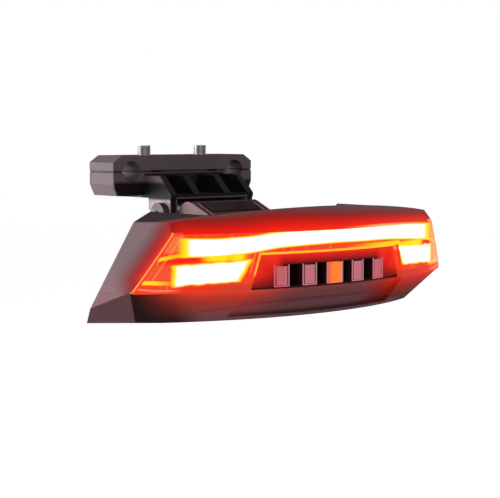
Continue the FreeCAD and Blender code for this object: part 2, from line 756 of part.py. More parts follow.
outer_form = light_form(0)
inner_form = light_form(s.wall)
cavity = inner_form.cut(top_channel(s.wall))
window_top = s.crest_height - s.bevel_height
boss_places = [
    (side * float(across), float(forward))
    for across, forward in ((s.rear_boss_across, s.rear_boss_forward),
                            (s.front_boss_across, s.front_boss_forward))
    for side in (-1, 1)
]


def upper_housing():
    """Roof, wings and end wall, open at the rear for the lens and below for the lower shell."""
    shell = outer_form.cut(top_channel(0)).cut(cavity)
    shell = shell.common(slab(-REACH, REACH, -REACH, REACH, s.lens_bottom, REACH))
    window = band(s.lens_radius + 1, s.lens_radius - s.wall - 8, s.lens_bottom, window_top)
    shell = shell.cut(within_wings(within_sides(window, s.side_rim), s.wall))
    posts = None
    for x, y in boss_places:
        post = Part.makeCylinder(float(s.boss_radius), REACH, vector(x, y, s.lens_bottom))
        posts = post if posts is None else posts.fuse(post)
    for side in (-1, 1):
        foot = vector(side * s.board_post_across, s.board_post_forward, board_top)
        post = Part.makeCylinder(float(s.boss_radius), REACH, foot)
        posts = posts.fuse(post)
    posts = posts.common(light_form(s.wall / 2)).cut(top_channel(0))
    shell = shell.fuse(posts)
    board_places = [(side * float(s.board_post_across), float(s.board_post_forward)) for side in (-1, 1)]
    hole = s.small_screw_radius + 0.05
    shell = drilled(shell, board_places, hole, board_top, board_top + s.board_screw_bite + 0.5)
    shell = drilled(shell, boss_places, hole, s.lens_bottom, s.lens_bottom + s.screw_bite)
    slot = s.neck_half_width + s.slide_clearance
    across = float(slot * 0.7)
    end = s.foot_end - s.slide_clearance
    rows = (float(end + s.small_head_radius * 1.6), float(s.foot_front - s.small_head_radius * 1.6))
    places = [(side * across, row) for side in (-1, 1) for row in rows]
    shell = drilled(shell, places, hole, channel_floor - s.wall - 1, channel_floor + 1)
    gap = s.port_clearance
    port = slab(-s.port_half_width - gap, s.port_half_width + gap, s.nose_end - s.wall - 1, s.nose_end + 1,
                s.port_height - s.port_thickness / 2 - gap, s.port_height + s.port_thickness / 2 + gap)
    shaped("upper_housing", shell.cut(port).removeSplitter())
    return port


def gasket_shape(margin):
    low = s.lens_bottom - s.seal_height - margin
    loop = light_form(s.seal_inset - margin).cut(light_form(s.seal_inset + s.seal_width + margin))
    return loop.common(slab(-REACH, REACH, -REACH, REACH, low, s.lens_bottom))


def lower_housing(port):
    """Chin, lower facets and floor, with a rebate for the bottom cover."""
    shell = outer_form.cut(inner_form)
    shell = shell.common(slab(-REACH, REACH, -REACH, REACH, -REACH, s.lens_bottom))
    posts = None
    for x, y in boss_places:
        height = float(s.lens_bottom) - float(s.floor_height)
        post = Part.makeCylinder(float(s.boss_radius), height, vector(x, y, s.floor_height))
        posts = post if posts is None else posts.fuse(post)
    shell = shell.fuse(posts.common(outer_form))
    peg_top = s.port_height - s.port_thickness / 2 - s.board_thickness
    for side in (-1, 1):
        foot = vector(side * (s.charge_half_width - s.peg_inset),
                      s.nose_end - s.charge_length / 2 - s.peg_inset, s.floor_height + s.wall / 4)
        shell = shell.fuse(Part.makeCylinder(float(s.peg_radius), float(peg_top) - foot.z, foot))
    shell = drilled(shell, boss_places, s.small_screw_radius + 0.1, s.floor_height, s.lens_bottom)
    shell = drilled(shell, boss_places, s.small_head_radius + 0.1, s.floor_height,
                    s.floor_height + s.small_head_height)
    skin = outer_form.cut(light_form(s.chin_recess))
    tongue = leaning_prism(s.recess_half_bottom, s.recess_half_lip, s.lens_bottom, s.floor_height, 0)
    skin = skin.common(tongue).common(slab(-REACH, REACH, -REACH, s.cover_rear - 0.5,
                                           s.floor_height + s.chin_recess, s.lens_bottom))
    shell = shell.cut(skin)
    half = s.cover_half_width
    rebate = slab(-half, half, s.cover_rear, s.cover_front, s.floor_height - 1,
                  s.floor_height + s.cover_thickness)
    rim = s.cover_rim
    opening = slab(-half + rim, half - rim, s.cover_rear + rim, s.cover_front - rim, s.floor_height - 1,
                   inner_floor + 1)
    shell = shell.cut(rebate).cut(opening).cut(port).cut(gasket_shape(0))
    hole = s.small_screw_radius + 0.05
    shell = drilled(shell, cover_screw_places(), hole, s.floor_height, inner_floor + 1)
    shaped("lower_housing", shell.removeSplitter())
    shaped("housing_gasket", gasket_shape(0).cut(port))


def cover_screw_places():
    across = float(s.cover_half_width - s.cover_rim / 2 - 0.2)
    middle = float((s.cover_rear + s.cover_front) / 2)
    return [(-across, middle), (across, middle)]


def small_screw(x, y, low, tip):
    """A screw driven upward: its head starts at low and its shank ends at tip."""
    head = rod("Z", x, y, low, s.small_head_radius, s.small_head_height)
    start = low + s.small_head_height
    shank = rod("Z", x, y, start, s.small_screw_radius, tip - start)
    return fused(head, shank)


def shell_screws():
    """Four screws up through the lower shell into the upper bosses."""
    screws = []
    tip = s.lens_bottom + s.screw_bite
    for across, forward in ((s.rear_boss_across, s.rear_boss_forward),
                            (s.front_boss_across, s.front_boss_forward)):
        for side in (-1, 1):
            screws.append(small_screw(across * side, forward, s.floor_height, tip))
    group("housing_screws", screws)


def bottom_cover():
    """Battery cover, flush in the rebate of the floor, with two screws."""
    body = new_body("bottom_cover")
    gap = s.cover_clearance
    half = s.cover_half_width - gap
    top = s.floor_height + s.cover_thickness
    add(body, "Z", s.floor_height, top, box_outline(-half, half, s.cover_rear + gap, s.cover_front - gap))
    middle = (s.cover_rear + s.cover_front) / 2
    across = s.cover_half_width - s.cover_rim / 2 - 0.2
    holes = [circle(across * side, middle, s.small_screw_radius + 0.1) for side in (-1, 1)]
    sinks = [circle(across * side, middle, s.small_head_radius + 0.1) for side in (-1, 1)]
    remove(body, "Z", s.floor_height, top, *holes)
    remove(body, "Z", s.floor_height, s.floor_height + s.small_head_height, *sinks)
    screws = [small_screw(across * side, middle, s.floor_height, inner_floor) for side in (-1, 1)]
    group("cover_screws", screws)


def lens():
    """Red lens: a band on the plan arc, notched for the middle recess."""
    gap = s.lens_clearance
    ring = band(s.lens_radius, s.lens_radius - s.lens_thickness, s.lens_bottom, window_top - gap)
    ring = within_sides(ring, s.side_rim + gap)
    shaped("rear_lens", ring.cut(recess_prism(-gap)))


guide_outer = s.lens_radius - s.lens_thickness - s.guide_gap
guide_inner = guide_outer - s.guide_thickness
strip_outer = guide_inner - s.led_height
strip_inner = strip_outer - s.board_thickness


def bar_form(margin):
    low = s.bar_top - s.bar_height - margin
    bar = band(guide_outer + margin, guide_inner - margin, low, s.bar_top + margin)
    return within_sides(bar, s.guide_end_rim - margin)


def lamp_form(margin, side):
    low = s.lamp_top - s.lamp_height - margin
    lamp = band(guide_outer + margin, guide_inner - margin, low, s.lamp_top + margin)
    inner = s.lamp_inner - margin
    half = slab(inner, REACH, -REACH, 0, low, 0) if side > 0 else slab(-REACH, -inner, -REACH, 0, low, 0)
    return within_sides(lamp.common(half), s.guide_end_rim - margin)


def light_guides():
    """Full-width upper guide, a guide for each turn lamp, and the bezel that frames them."""
    gap = s.lens_clearance
    shaped("upper_light_guide", bar_form(0))
    shaped("left_lamp_guide", lamp_form(0, -1))
    shaped("right_lamp_guide", lamp_form(0, 1))
    bezel = band(guide_outer, guide_inner, s.lens_bottom, window_top - gap)
    bezel = within_wings(within_sides(bezel, s.side_rim + gap), s.wall + gap)
    for guide in (bar_form(gap), lamp_form(gap, -1), lamp_form(gap, 1)):
        bezel = bezel.cut(guide)
    shaped("inner_bezel", bezel.cut(recess_prism(-gap)))


def diode(across, middle_z):
    """One diode on the strip at a distance from the middle, facing outward from the arc's axis."""
    degrees = math.degrees(math.asin(float(across) / float(guide_inner)))
    size = float(s.led_size)
    box = Part.makeBox(size, float(s.led_height), size,
                       vector(-size / 2, -float(guide_inner), float(middle_z) - size / 2))
    box.rotate(FreeCAD.Vector(0, 0, 0), FreeCAD.Vector(0, 0, 1), degrees)
    box.translate(vector(0, arc_forward, 0))
    return box


def led_strip():
    """Bent strip behind the guides, with the bar's diodes and three for each turn lamp."""
    low = s.lamp_top - s.lamp_height
    strip = band(strip_outer, strip_inner, low, s.bar_top)
    strip = within_sides(strip, s.guide_end_rim)
    notch = slab(-s.lamp_inner, s.lamp_inner, -REACH, 0, low, s.bar_top - s.bar_height)
    shaped("led_strip", strip.cut(notch))
    bar_middle = s.bar_top - s.bar_height / 2
    lamp_middle = s.lamp_top - s.lamp_height / 2
    bar = [diode(s.bar_led_pitch * step, bar_middle) for step in range(-5, 6)]
    first = s.lamp_inner + s.lamp_led_inset
    lamps = [
        diode(side * (first + s.lamp_led_pitch * step), lamp_middle)
        for side in (-1, 1) for step in range(3)
    ]
    shaped("bar_leds", Part.makeCompound(bar))
    shaped("turn_leds", Part.makeCompound(lamps))


def post_slots(depth_from, depth_to):
    """The dark slots between the five posts."""
    slots = []
    low = s.post_bottom
    for step in (-1.5, -0.5, 0.5, 1.5):
        middle = s.post_pitch * step
        half = s.slot_width / 2
        slots.append(slab(middle - half, middle + half, depth_from, depth_to, low, low + s.post_height))
    return slots


def insert_form(step, margin, proud):
    """The bright insert of one post, on the grille's own arc."""
    outer = s.lens_radius - s.recess_depth
    middle = s.post_pitch * step
    half = s.insert_width / 2 + margin
    high = s.insert_height / 2 + margin
    plate = band(outer + proud, outer - s.insert_depth - margin, post_middle - high, post_middle + high)
    return plate.common(slab(middle - half, middle + half, -REACH, 0, -REACH, 0))


def grille():
    """Middle grille: slotted frame, four bright inserts, and the slot for the power button."""
    outer = s.lens_radius - s.recess_depth
    frame = disc(outer, s.lens_bottom, s.recess_top)
    frame = frame.common(slab(-REACH, REACH, -REACH, grille_back, -REACH, 0))
    frame = frame.common(recess_prism(0))
    for slot in post_slots(-REACH, grille_face + s.slot_depth):
        frame = frame.cut(slot)
    steps = (-2, -1, 1, 2)
    for step in steps:
        frame = frame.cut(insert_form(step, 0.05, 1))
    gap = s.button_clearance
    half = s.button_width / 2 + gap
    high = s.button_height / 2 + gap
    frame = frame.cut(slab(-half, half, -REACH, 0, post_middle - high, post_middle + high))
    leg = s.slot_width / 2
    for side in (-1, 1):
        middle = side * s.post_pitch
        frame = frame.fuse(slab(middle - leg, middle + leg, grille_back, switch_board_rear,
                                s.post_bottom, s.post_bottom + s.post_height))
    shaped("grille_frame", frame.removeSplitter())
    inserts = [insert_form(step, 0, s.insert_proud) for step in steps]
    shaped("post_inserts", Part.makeCompound(inserts))


button_rear = grille_face - s.button_proud + s.button_length
switch_rear = button_rear + s.button_travel + 0.1
switch_board_rear = switch_rear + s.switch_height


def power_button():
    """Centre post: a pressed button with a collar behind the grille, its switch and board."""
    body = new_body("power_button")
    half = s.button_width / 2
    high = s.button_height / 2
    shank = box_outline(-half, half, post_middle - high, post_middle + high)
    add(body, "Y", grille_face - s.button_proud, button_rear, shank)
    collar = box_outline(-half - 0.8, half + 0.8, post_middle - high, post_middle + high)
    add(body, "Y", grille_back + s.button_clearance, button_rear, collar)
    switch = new_body("button_switch")
    add(switch, "Y", switch_rear, switch_board_rear, square(0, post_middle, s.switch_size / 2))
    board = new_body("button_board")
    wide = s.post_pitch + s.slot_width / 2
    add(board, "Y", switch_board_rear, switch_board_rear + s.board_thickness,
        box_outline(-wide, wide, s.post_bottom, s.recess_top - 1))


def main_board():
    """Board under the roof with its radio module and control chip, screwed to two posts."""
    body = new_body("main_board")
    half = s.board_post_across + s.board_post_margin
    add(body, "Z", s.board_height, board_top, box_outline(-half, half, s.board_rear, s.board_front))
    hole = s.small_screw_radius + 0.1
    holes = [circle(s.board_post_across * side, s.board_post_forward, hole) for side in (-1, 1)]
    remove(body, "Z", s.board_height, board_top, *holes)
    radio = new_body("radio_module")
    middle = (s.board_rear + s.board_front) / 2
    add(radio, "Z", board_top, board_top + s.radio_thickness,
        square(s.radio_across, middle, s.radio_length / 2))
    chip = new_body("control_chip")
    add(chip, "Z", board_top, board_top + s.chip_thickness,
        square(s.chip_across, middle, s.chip_length / 2))
    screws = []
    for side in (-1, 1):
        low = s.board_height - s.small_head_height
        tip = board_top + s.board_screw_bite
        screws.append(small_screw(s.board_post_across * side, s.board_post_forward, low, tip))
    group("board_screws", screws)
    ribbon = new_body("ribbon_cable")
    strip_face = arc_forward - strip_inner + s.ribbon_gap
    wide = s.ribbon_half_width
    add(ribbon, "Z", board_top, board_top + s.ribbon_thickness,
        box_outline(-wide, wide, strip_face, s.board_rear + s.ribbon_overlap))


def battery():
    """Round cell in two end cradles with a contact plate at each end."""
    half = s.cell_length / 2
    finished(rod("X", -half, s.cell_forward, s.cell_height, s.cell_radius, s.cell_length), "battery_cell")
    cradles = []
    contacts = []
    gap = s.cradle_clearance
    rest = s.cover_half_width - s.cover_rim + 0.3
    end = half + s.contact_thickness
    for side in (-1, 1):
        outer = end + s.cradle_wall
        deep = s.cradle_half_depth
        span = (rest, outer) if side > 0 else (-outer, -rest)
        saddle = block(*span, s.cell_forward - deep, s.cell_forward + deep, inner_floor, s.cell_height + 2)
        bore_start = rest - 1 if side > 0 else -end
        bore = rod("X", bore_start, s.cell_forward, s.cell_height, s.cell_radius + gap, end - rest + 1)
        cradles.append(cut(saddle, bore))
        plate = (half, end) if side > 0 else (-end, -half)
        wide = s.contact_half_width
        top = s.cell_height + s.cradle_clearance
        contacts.append(block(*plate, s.cell_forward - wide, s.cell_forward + wide,
                              top - s.contact_height, top))
    group("battery_cradles", cradles)
    group("battery_contacts", contacts)


def charging_port():
    """Charging socket on its own board at the forward end, and the rubber flap over it."""
    body = new_body("usb_socket")
    face = s.nose_end - s.port_clearance
    rear = face - s.port_length
    half = s.port_half_width
    low = s.port_height - s.port_thickness / 2
    high = s.port_height + s.port_thickness / 2
    add(body, "Y", rear, face, box_outline(-half, half, low, high))
    skin = s.port_skin
    remove(body, "Y", rear + 1, face + 0.01,
           box_outline(-half + skin, half - skin, low + skin, high - skin))
    board = new_body("charge_board")
    board_end = s.nose_end - s.wall - 0.3
    wide = s.charge_half_width
    add(board, "Z", low - s.board_thickness, low,
        box_outline(-wide, wide, board_end - s.charge_length, board_end))
    flap = new_body("usb_cover")
    inside = s.nose_end + s.flap_gap
    outside = inside + s.flap_thickness
    tall = s.flap_half_height
    add(flap, "Y", inside, outside, box_outline(
        -s.flap_half_width, s.flap_half_width, s.port_height - tall, s.port_height + tall))
    bead = (inside + s.flap_thickness / 2, s.port_height + tall)
    add(flap, "X", -s.flap_half_width, s.flap_half_width, circle(*bead, s.flap_pin_radius))
    plug = polygon((-half + 1.2, s.port_height - 0.7), (half - 1.2, s.port_height - 0.7),
                   (half - 1.2, s.port_height + 0.7), (-half + 1.2, s.port_height + 0.7))
    add(flap, "Y", inside - 1.2, inside + 0.2, plug)


rail_clamp()
upper_plate()
clamp_fasteners()
hinge_fasteners()
tilt_bracket()
release_tab()
slide_receiver()
receiver_screws()
lower_housing(upper_housing())
shell_screws()
bottom_cover()
lens()
light_guides()
led_strip()
grille()
power_button()
main_board()
battery()
charging_port()

doc.recompute()
for item in doc.Objects:
    if "Invalid" in item.State or "Error" in item.State:
        raise RuntimeError(f"{item.Label} failed: {item.State}")
os.makedirs("parts", exist_ok=True)
for node in sub_parts:
    if node.Shape.isNull() or not node.Shape.isValid():
        raise RuntimeError(f"{node.Label} has no valid shape")
    node.Shape.exportStep(f"parts/{node.Label}.step")
    print(f"{node.Label}: {len(node.Shape.Solids)} solid(s), {node.Shape.Volume:.1f} mm3")
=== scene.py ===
import json
import math

import bmesh
import bpy
from mathutils import Matrix, Vector


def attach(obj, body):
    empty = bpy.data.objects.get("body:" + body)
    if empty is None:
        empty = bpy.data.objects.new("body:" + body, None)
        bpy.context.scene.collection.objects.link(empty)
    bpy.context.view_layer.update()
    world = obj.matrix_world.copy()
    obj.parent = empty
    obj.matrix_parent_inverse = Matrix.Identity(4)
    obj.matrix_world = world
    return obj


# Tail light with turn lamps, hung under its clamp and lit as in the photograph.
# Metres in the part's own frame: +X right, +Y forward, +Z up, the lens faces -Y.
# Shapes and the places that looks go by are in millimetres, and a finished piece is brought to metres.

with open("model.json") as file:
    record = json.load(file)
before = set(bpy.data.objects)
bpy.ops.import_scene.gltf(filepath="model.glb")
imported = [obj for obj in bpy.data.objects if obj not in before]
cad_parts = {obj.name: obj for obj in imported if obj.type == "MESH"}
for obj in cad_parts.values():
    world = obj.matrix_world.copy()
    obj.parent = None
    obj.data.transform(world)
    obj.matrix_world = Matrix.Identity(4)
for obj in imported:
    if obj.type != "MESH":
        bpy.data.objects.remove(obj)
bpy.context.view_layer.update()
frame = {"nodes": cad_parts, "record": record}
MM = 0.001

# Camera, worked out from the light's symmetric corners
CAMERA_PLACE = (-0.3032, -0.4030, 0.0132)
CAMERA_HEADING = -40.0
CAMERA_TILT = 85.405
CAMERA_LENS = 104.9

# The lens's round face, and a point and the outward direction of the flat side facets
LENS_RADIUS = 120.0
ARC_FORWARD = 36.0
LENS_BOTTOM = -33.0
CORNER = (64.3, -65.3, -32.3)
SIDE_NORMAL = (0.8625, -0.2071, 0.4617)

# The lit bar sags towards its ends, dips once in its left half and stands higher in its right half
BAR_MIDDLE = -18.0
BAR_SAG = 1 / 1350
BAR_DIP = 0.8
BAR_DIP_PLACE = -37.0
BAR_RISE = 0.4
BAR_HALF = 1.62
BAR_FLARE = 0.0125
BAR_END = 49.3

# The turn lamps, with the left one's value before the right one's where the two differ
LAMP_MIDDLE = (-26.45, -25.3)
LAMP_SAG = 1 / 1850
LAMP_HALF = 2.5
LAMP_INNER = (32.4, 29.6)
LAMP_INNER_HEIGHT = -23.7
LAMP_SLANT = 0.58
LAMP_END = 52.6
SIDES_MEET = 5.0

# The middle recess and its five posts
RECESS_TOP = -22.4
RECESS_HALF_TOP = 28.5
RECESS_SLANT = 0.29
RECESS_SQUARE = 0.96
RECESS_FALL = 6.9
RIM_BEAD = 0.26
GRILLE_RADIUS = 117.8
POST_PITCH = 10.0
POST_TOP = -26.0
POST_BOTTOM = -32.5
POST_HALF = 2.45
BUTTON_HALF = 3.05

# The chin's side edges lean inward, and its seam runs lower towards the ends
CHIN_TAPER = 0.738
SEAM_HEIGHT = -36.8
SEAM_SAG = 800.0

# The clamp, and the bracket's back under it
BOLT_ACROSS = 12.0
BOLT_RADIUS = 2.0
PLATE_TOP = 5.4
# Across ranges of the painted light on the ears' outer sides and on the bracket's cheeks
EAR_INNER = (17.2, 17.4)
EAR_OUTER = (18.0, 17.7)
CHEEK = (13.95, 14.15)

# The studio
AMBIENT = 0.38
FLOOR = -0.30
FLOOR_HALF = 6
AIM = -0.02


def srgb(red, green, blue):
    """A colour read off a screen, as the linear values that nodes use."""
    def linear(value):
        value /= 255
        return value / 12.92 if value <= 0.04045 else ((value + 0.055) / 1.055) ** 2.4
    return (linear(red), linear(green), linear(blue), 1.0)


NOTHING = (0, 0, 0, 1)
WHITE_HOT = (1.3, 1.27, 1.2, 1)
SHELL = srgb(94, 77, 80)
SHELL_MOTTLE = srgb(103, 85, 89)


class Look:
    """One procedural material, built up from small steps."""

    def __init__(self, name):
        self.material = bpy.data.materials.new(name)
        self.material.use_nodes = True
        self.tree = self.material.node_tree
        self.nodes = self.tree.nodes
        self.shader = self.nodes["Principled BSDF"]
        self.split = None
        self.axes = {}

    def link(self, value, socket):
        if isinstance(value, bpy.types.NodeSocket):
            self.tree.links.new(value, socket)
        else:
            socket.default_value = value

    def step(self, kind, output=0, values=(), **settings):
        node = self.nodes.new(kind)
        for key, value in settings.items():
            setattr(node, key, value)
        for name, value in dict(values).items():
            self.link(value, node.inputs[name])
        return node.outputs[output]

    def math(self, operation, *values):
        node = self.nodes.new("ShaderNodeMath")
        node.operation = operation
        for socket, value in zip(node.inputs, values):
            self.link(value, socket)
        return node.outputs[0]

    def add(self, first, *others):
        for other in others:
            first = self.math("ADD", first, other)
        return first

    def sub(self, first, second):
        return self.math("SUBTRACT", first, second)

    def mul(self, first, *others):
        for other in others:
            first = self.math("MULTIPLY", first, other)
        return first

    def high(self, first, second):
        return self.math("MAXIMUM", first, second)

    def size(self, value):
        return self.math("ABSOLUTE", value)

    def length(self, *parts):
        total = self.mul(parts[0], parts[0])
        for part in parts[1:]:
            total = self.add(total, self.mul(part, part))
        return self.math("SQRT", total)

    def place(self, axis):
        """X, Y or Z of the surface in millimetres."""
        if self.split is None:
            self.split = self.nodes.new("ShaderNodeSeparateXYZ")
            self.link(self.step("ShaderNodeTexCoord", "Object"), self.split.inputs[0])
        if axis not in self.axes:
            self.axes[axis] = self.mul(self.split.outputs[axis], 1 / MM)
        return self.axes[axis]

    @property
    def x(self):
        return self.place(0)

    @property
    def y(self):
        return self.place(1)

    @property
    def z(self):
        return self.place(2)

    def ramp(self, value, low, high, start=0.0, stop=1.0):
        """Runs smoothly from start to stop as value goes from low to high."""
        values = {"Value": value, "From Min": low, "From Max": high, "To Min": start, "To Max": stop}
        return self.step("ShaderNodeMapRange", 0, values, interpolation_type="SMOOTHSTEP")

    def line(self, value, centre, half, soft):
        """One along a soft-edged stripe where value is near its centre, and nothing elsewhere."""
        away = self.size(self.sub(value, centre))
        return self.ramp(away, half, half + soft, 1.0, 0.0)

    def blend(self, amount, first, second, mode="MIX"):
        """Lays the second colour over the first."""
        node = self.nodes.new("ShaderNodeMix")
        node.data_type = "RGBA"
        node.blend_type = mode
        node.clamp_factor = True
        colours = [socket for socket in node.inputs if socket.type == "RGBA"]
        factors = [socket for socket in node.inputs if socket.name == "Factor" and socket.type == "VALUE"]
        self.link(amount, factors[0])
        self.link(first, colours[0])
        self.link(second, colours[1])
        return [socket for socket in node.outputs if socket.type == "RGBA"][0]

    def shades(self, value, span, stops):
        """A colour that runs through stops as value goes from nothing to span."""
        node = self.nodes.new("ShaderNodeValToRGB")
        self.link(self.math("DIVIDE", value, span), node.inputs[0])
        points = node.color_ramp.elements
        while len(points) < len(stops):
            points.new(1.0)
        for point, (at, colour) in zip(points, stops):
            point.position = at / span
            point.color = colour
        return node.outputs[0]

    def noise(self, scale, detail, stretch=None):
        source = self.step("ShaderNodeTexCoord", "Object")
        if stretch is not None:
            source = self.step("ShaderNodeMapping", 0, {"Vector": source, "Scale": stretch})
        return self.step("ShaderNodeTexNoise", 0, {"Vector": source, "Scale": scale, "Detail": detail})

    def rounded(self, radius):
        """A normal that softens sharp edges over a small radius."""
        return self.step("ShaderNodeBevel", "Normal", {"Radius": radius * MM}, samples=4)

    def bump(self, height, distance, strength, normal):
        values = {"Strength": strength, "Distance": distance * MM, "Height": height, "Normal": normal}
        return self.step("ShaderNodeBump", 0, values)

    def shaded(self, **values):
        """Sets the shader's own sockets and gives the material."""
        for name, value in values.items():
            socket = name.replace("_", " ").title().replace("Ior", "IOR")
            self.link(value, self.shader.inputs[socket])
        return self.material


def both_sides(look, left, right):
    """The left half's value, then the right half's, with a short passage between them."""
    return look.ramp(look.x, -SIDES_MEET, SIDES_MEET, left, right)


def bar_window(look):
    """Distance beside and above the lit bar's edge, less than nothing inside."""
    across = look.size(look.x)
    middle = look.sub(BAR_MIDDLE, look.mul(look.mul(across, across), BAR_SAG))
    middle = look.sub(middle, look.mul(look.line(look.x, BAR_DIP_PLACE, 3.0, 13.0), BAR_DIP))
    middle = look.add(middle, look.ramp(look.x, 5.0, 25.0, 0.0, BAR_RISE))
    half = look.add(BAR_HALF, look.mul(across, BAR_FLARE))
    return look.sub(across, BAR_END), look.sub(look.size(look.sub(look.z, middle)), half)


def lamp_window(look):
    """Distance beside and above the nearer turn lamp's edge, less than nothing inside."""
    across = look.size(look.x)
    middle = look.sub(both_sides(look, *LAMP_MIDDLE), look.mul(look.mul(across, across), LAMP_SAG))
    slant = look.mul(look.sub(LAMP_INNER_HEIGHT, look.z), LAMP_SLANT)
    inner = look.add(both_sides(look, *LAMP_INNER), slant)
    beside = look.high(look.sub(inner, across), look.sub(across, LAMP_END))
    return beside, look.sub(look.size(look.sub(look.z, middle)), LAMP_HALF)


def lens_depth(look):
    """Distance inside the lens's round face."""
    radius = look.length(look.x, look.sub(look.y, ARC_FORWARD))
    return look.high(look.sub(LENS_RADIUS, radius), 0.0)


def side_inset(look):
    """Distance inward from the light's side facet."""
    across = look.mul(look.sub(look.size(look.x), CORNER[0]), -SIDE_NORMAL[0])
    back = look.mul(look.sub(look.y, CORNER[1]), -SIDE_NORMAL[1])
    up = look.mul(look.sub(look.z, CORNER[2]), -SIDE_NORMAL[2])
    return look.add(across, back, up)


def recess_distance(look):
    """Distance square to the middle recess's outline on the lens, less than nothing inside."""
    half = look.add(RECESS_HALF_TOP, look.mul(look.sub(RECESS_TOP, look.z), RECESS_SLANT))
    beside = look.mul(look.sub(look.size(look.x), half), RECESS_SQUARE)
    return look.high(look.sub(look.z, RECESS_TOP), beside)


def lens_glass(look):
    """Slightly cloudy red glass with fine upright flutes."""
    glass = look.blend(look.noise(120.0, 2.0), srgb(242, 52, 28), srgb(250, 82, 50))
    flutes = look.ramp(look.noise(900.0, 1.0, (1.0, 1.0, 0.35)), 0.55, 0.75, 0.0, 0.3)
    return look.blend(flutes, glass, srgb(255, 142, 70))


def lens_cells(look, field, across):
    """Dim cells at the lens's ends, the red gap between them and a fine line along the facet."""
    z = look.z
    upper_cell = look.mul(look.ramp(across, 49.5, 52.0), look.line(z, -18.9, 1.9, 0.8))
    field = look.blend(upper_cell, field, srgb(243, 118, 62))
    lower_cell = look.mul(look.ramp(across, 53.0, 55.0), look.line(z, -27.3, 2.0, 1.0), 0.7)
    field = look.blend(lower_cell, field, srgb(236, 92, 56))
    gap = look.mul(look.line(z, -23.3, 0.6, 0.7), look.ramp(across, 45.0, 47.5),
                   look.ramp(across, 57.5, 56.0))
    field = look.blend(gap, field, srgb(250, 36, 30))
    facet_line = look.mul(look.line(side_inset(look), 2.5, 0.05, 0.2), look.ramp(z, -30.5, -29.5), 0.6)
    return look.blend(facet_line, field, srgb(255, 160, 90))


def lens_glints(look, field, across, wobble):
    """Yellow light that leaks between bar and lamps and runs in streaks to the lens's corners."""
    z = look.z
    leak_from = look.sub(32.0, look.mul(both_sides(look, 0.0, 1.0), 4.0))
    leak = look.mul(look.ramp(across, 46.8, 43.0), look.ramp(look.sub(across, leak_from), 0.0, 3.0),
                    look.ramp(wobble, 0.5, 0.0))
    field = look.blend(look.mul(look.line(z, -22.8, 0.7, 1.1), leak), field, srgb(255, 236, 20))
    streak_height = look.sub(look.mul(look.sub(across, 51.0), -0.2), 21.9)
    streak = look.mul(look.line(look.sub(z, streak_height), 0.0, 0.15, 0.7), look.ramp(across, 48.5, 50.5),
                      look.ramp(across, 51.5, 57.5, 0.7, 1.0))
    field = look.blend(streak, field, srgb(255, 222, 26))
    foot_height = look.sub(look.mul(look.sub(across, 50.0), 0.05), 30.3)
    foot = look.mul(look.line(look.sub(z, foot_height), 0.0, 0.3, 0.5),
                    look.ramp(across, 53.5, 59.0, 0.3, 1.0), look.ramp(across, 50.0, 52.0))
    field = look.blend(foot, field, srgb(255, 226, 40))
    curl_rise = look.mul(look.high(look.sub(across, 58.0), 0.0), 0.12)
    curl = look.mul(look.line(look.sub(z, curl_rise), -32.1, 0.1, 0.3), look.ramp(across, 50.0, 55.0), 0.8)
    return look.blend(curl, field, srgb(255, 150, 110))


def lens_margins(look, field, across):
    """The lens's pale right end and its deeper red lower edge."""
    right_end = look.mul(look.ramp(look.x, 50.5, 56.0), look.ramp(look.z, -31.5, -29.5), 0.7)
    field = look.blend(right_end, field, srgb(255, 196, 124))
    lower_edge = look.ramp(look.z, LENS_BOTTOM + 3.0, LENS_BOTTOM + 1.4)
    lower_tone = look.blend(look.ramp(across, 46.0, 37.0), srgb(228, 54, 34), srgb(196, 62, 46))
    return look.blend(look.mul(lower_edge, look.ramp(across, 56.0, 50.0), 0.9), field, lower_tone)


def recess_lines(look, field, rim):
    """Lines of light in the lens along the recess, the widest where the bar runs close to it."""
    x, z = look.x, look.z
    outline = look.mul(look.line(rim, 0.3, 0.05, 0.25), look.ramp(z, -29.5, -28.0), look.ramp(x, 28.0, 24.0))
    field = look.blend(outline, field, srgb(255, 190, 60))
    second = look.mul(look.line(rim, 1.7, 0.05, 0.25), look.ramp(z, -28.5, -27.0),
                      look.ramp(x, -26.0, -28.0), 0.6)
    field = look.blend(second, field, srgb(255, 160, 80))
    merge = look.mul(look.ramp(x, 0.0, 26.0), look.line(rim, 0.7, 0.3, 0.8), look.ramp(z, -22.9, -22.3))
    return look.blend(merge, field, srgb(255, 226, 24))


def lens_look():
    """Polished red lens, painted with the lit bar, the turn lamps and their haloes."""
    look = Look("lens_red")
    across = look.size(look.x)
    bar_side, bar_above = bar_window(look)
    to_right = both_sides(look, 0.0, 1.0)
    bar_side = look.mul(look.add(bar_side, look.mul(to_right, 1.6)), look.sub(1.0, look.mul(to_right, 0.5)))
    wobble = look.mul(look.sub(look.noise(300.0, 1.0), 0.5), 0.9)
    lamp_side, lamp_above = (look.add(edge, wobble) for edge in lamp_window(look))
    rim = recess_distance(look)
    field = lens_cells(look, lens_glass(look), across)
    field = lens_glints(look, field, across, wobble)
    halo_bar = look.mul(look.ramp(bar_side, 3.4, 1.0), look.ramp(bar_above, 0.75, 0.3))
    halo_lamp = look.mul(look.ramp(lamp_side, 2.0, 0.7), look.ramp(lamp_above, 0.9, 0.35),
                         look.ramp(rim, 0.3, 0.9))
    field = look.blend(look.high(halo_bar, halo_lamp), field, srgb(255, 232, 14))
    field = recess_lines(look, lens_margins(look, field, across), rim)
    core_bar = look.mul(look.ramp(bar_side, 1.2, -1.5), look.ramp(bar_above, 0.34, -0.1))
    core_lamp = look.mul(look.ramp(lamp_side, 0.8, -0.6), look.ramp(lamp_above, 0.5, -0.1))
    field = look.blend(look.high(core_bar, core_lamp), field, WHITE_HOT)
    return look.shaded(base_color=srgb(90, 4, 3), roughness=0.14, specular_ior_level=0.03,
                       emission_color=field, emission_strength=0.96)


